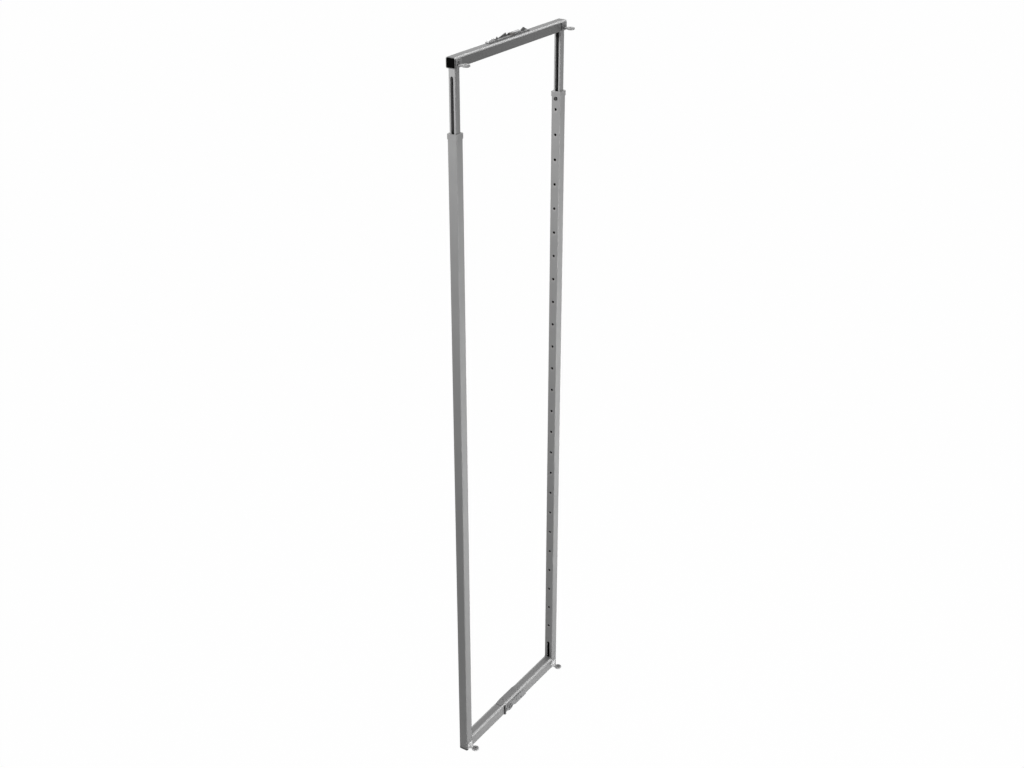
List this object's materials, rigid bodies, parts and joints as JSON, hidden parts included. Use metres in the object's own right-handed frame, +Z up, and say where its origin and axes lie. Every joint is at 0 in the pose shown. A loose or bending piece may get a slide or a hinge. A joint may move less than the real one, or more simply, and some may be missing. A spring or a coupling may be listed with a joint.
{
  "type": "pull-out pantry frame",
  "caption": "Tall narrow tube frame for a pull-out pantry, with drilled posts, a telescoping slotted upper part, clamp screws and runner couplings on its bars.",
  "frame": {"origin": "middle of the bottom bar's underside, which is the centre of the bottom runner's bolt pair", "axes": "+Z up along the posts, -Y to the front post, +X to the side that carries the tabs"},
  "size_m": [0.0555, 0.468, 1.909],
  "materials": {
    "silver_lacquer": "satin silver lacquer",
    "inner_steel": "satin, brushed along the tube",
    "bracket_steel": "bright zinc",
    "dark_steel": "dark grey, satin",
    "screw_steel": "zinc",
    "grey_plastic": "fine grain",
    "light_plastic": "smooth",
    "black_plastic": "fine grain",
    "black_rubber": "smooth"
  },
  "bodies": {
    "lower_frame": {"front_outer_post": "silver_lacquer", "rear_outer_post": "silver_lacquer", "bottom_bar": "silver_lacquer", "front_foot_plug": "black_plastic", "rear_foot_plug": "black_plastic", "front_guide_collar": "grey_plastic", "rear_guide_collar": "grey_plastic", "front_clamp_nut": "screw_steel", "rear_clamp_nut": "screw_steel", "front_clamp_washer": "dark_steel", "rear_clamp_washer": "dark_steel", "front_lower_tab": "bracket_steel", "rear_lower_tab": "bracket_steel", "lower_tab_grommets": "black_rubber", "lower_tab_screws": "screw_steel", "lower_coupling_plate": "silver_lacquer", "lower_coupling_screws": "screw_steel", "lower_side_plate": "bracket_steel", "lower_side_screws": "screw_steel", "lower_latch_pin": "screw_steel"},
    "upper_frame": {"top_bar": "silver_lacquer", "front_inner_post": "inner_steel", "rear_inner_post": "inner_steel", "front_bar_cap": "black_plastic", "rear_bar_cap": "black_plastic", "front_guide_shoe": "black_plastic", "rear_guide_shoe": "black_plastic", "guide_shoe_screws": "screw_steel", "front_upper_tab": "bracket_steel", "rear_upper_tab": "bracket_steel", "upper_tab_grommets": "black_rubber", "upper_tab_screws": "screw_steel", "upper_hook_plate": "dark_steel", "upper_plate_screws": "screw_steel", "upper_guide_nose": "light_plastic", "upper_adjust_block": "black_plastic", "upper_latch_pin": "screw_steel"},
    "front_clamp": {"front_clamp_screw": "dark_steel"},
    "rear_clamp": {"rear_clamp_screw": "dark_steel"},
    "height_cam": {"lower_height_cam": "screw_steel"},
    "lower_latch": {"lower_latch_lever": "black_plastic"},
    "adjust_screw": {"upper_adjust_screw": "screw_steel"},
    "upper_latch": {"upper_latch_lever": "light_plastic"}
  },
  "joints": [
    {"name": "height_slide", "type": "slide", "parent": "lower_frame", "child": "upper_frame", "axis": [0, 0, 1], "range_m": [-0.135, 0.15]},
    {"name": "front_clamp_turn", "type": "hinge", "parent": "lower_frame", "child": "front_clamp", "pos_m": [0, -0.22, 1.7108], "axis": [0, 1, 0], "range_deg": [0, 360]},
    {"name": "rear_clamp_turn", "type": "hinge", "parent": "lower_frame", "child": "rear_clamp", "pos_m": [0, 0.22, 1.7108], "axis": [0, -1, 0], "range_deg": [0, 360]},
    {"name": "height_cam_turn", "type": "hinge", "parent": "lower_frame", "child": "height_cam", "pos_m": [0.0151, -0.0195, 0.0135], "axis": [1, 0, 0], "range_deg": [-90, 90]},
    {"name": "lower_latch_swing", "type": "hinge", "parent": "lower_frame", "child": "lower_latch", "pos_m": [0.0128, -0.046, 0.0275], "axis": [-1, 0, 0], "range_deg": [0, 35]},
    {"name": "adjust_screw_turn", "type": "hinge", "parent": "upper_frame", "child": "adjust_screw", "pos_m": [-0.003, 0.015, 1.9075], "axis": [0, 0, 1], "range_deg": [-360, 360]},
    {"name": "upper_latch_lift", "type": "hinge", "parent": "upper_frame", "child": "upper_latch", "pos_m": [-0.0077, 0.048, 1.9045], "axis": [-1, 0, 0], "range_deg": [0, 35]}
  ]
}
